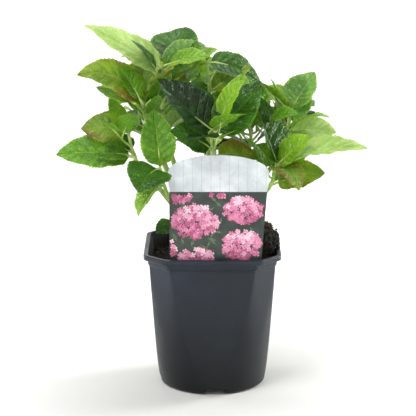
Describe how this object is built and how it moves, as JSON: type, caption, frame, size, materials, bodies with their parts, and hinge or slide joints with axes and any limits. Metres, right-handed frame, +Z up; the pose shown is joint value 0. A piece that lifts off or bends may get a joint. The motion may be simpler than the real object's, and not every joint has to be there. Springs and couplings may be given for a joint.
{
  "type": "potted hydrangea",
  "caption": "Young leafy hydrangea with serrated leaves in opposite pairs, in a square-rimmed plastic pot with compost and a plain plant label.",
  "frame": {"origin": "middle of the pot's flat underside", "axes": "+Z up, -Y towards the label and the viewer, +X to the viewer's right"},
  "size_m": [0.3271, 0.2674, 0.3937],
  "materials": {
    "pot": "satin slate grey",
    "compost": "moist, crumbly, almost black",
    "label": "printed, semi-gloss",
    "bark": "young bark",
    "green_stem": "smooth green wood",
    "foliage": "glossy living leaf"
  },
  "bodies": {
    "root": {"pot": "pot", "compost": "compost", "label": "label", "stem_foot": "bark", "bough_front": "green_stem", "bough_lower_left": "green_stem", "bough_left": "green_stem", "bough_upper_left": "green_stem", "bough_top_left": "green_stem", "bough_top": "green_stem", "bough_right": "green_stem", "bough_middle": "green_stem", "bough_top_right": "green_stem", "bough_low_left": "green_stem", "bough_back_left": "green_stem", "bough_back": "green_stem", "bough_back_right": "green_stem", "foliage_front": "foliage", "foliage_lower_left": "foliage", "foliage_left": "foliage", "foliage_upper_left": "foliage", "foliage_top_left": "foliage", "foliage_top": "foliage", "foliage_right": "foliage", "foliage_middle": "foliage", "foliage_top_right": "foliage", "foliage_low_left": "foliage", "foliage_back_left": "foliage", "foliage_back": "foliage", "foliage_back_right": "foliage"}
  },
  "joints": []
}
